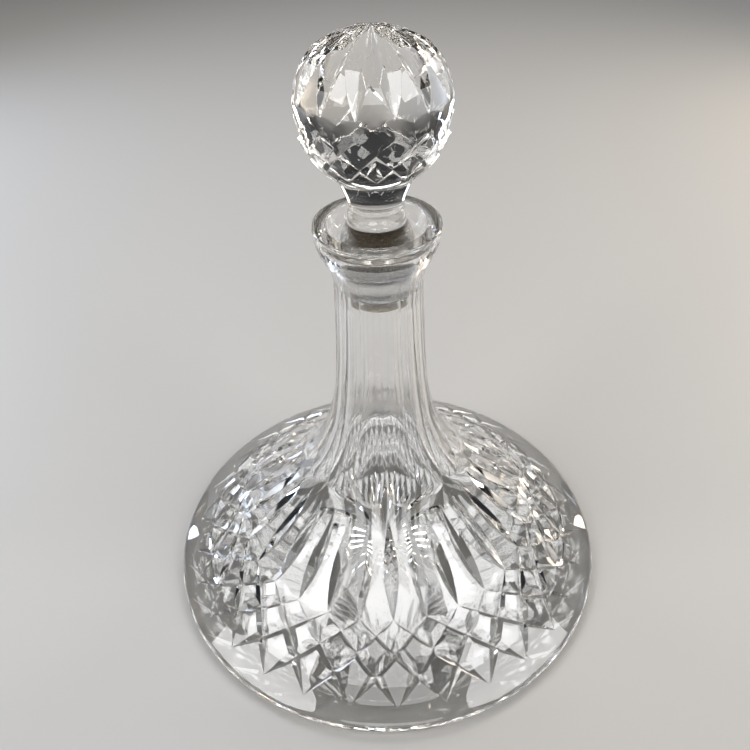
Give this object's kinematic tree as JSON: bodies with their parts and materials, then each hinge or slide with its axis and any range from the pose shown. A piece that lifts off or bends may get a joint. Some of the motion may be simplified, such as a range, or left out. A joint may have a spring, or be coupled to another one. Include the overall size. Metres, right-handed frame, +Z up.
{
  "type": "wine decanter",
  "caption": "Squat wide-based cut-glass wine decanter with a long fluted neck, a flared lip and a lift-out ball stopper ground to fit the neck.",
  "frame": {"origin": "middle of the flat underside, on the surface that the decanter stands on", "axes": "+Z up along the decanter's own axis of turning; -Y is the front"},
  "size_m": [0.2, 0.2, 0.2404],
  "materials": {
    "vessel_glass": "clear lead crystal, wheel-cut and polished",
    "stopper_glass": "clear lead crystal, wheel-cut and polished, with a satin ground plug"
  },
  "bodies": {
    "vessel": {"crystal_vessel": "vessel_glass"},
    "stopper": {"ball_stopper": "stopper_glass"}
  },
  "joints": [
    {"name": "stopper_lift", "type": "slide", "parent": "vessel", "child": "stopper", "axis": [0, 0, 1], "range_m": [0, 0.08]}
  ]
}
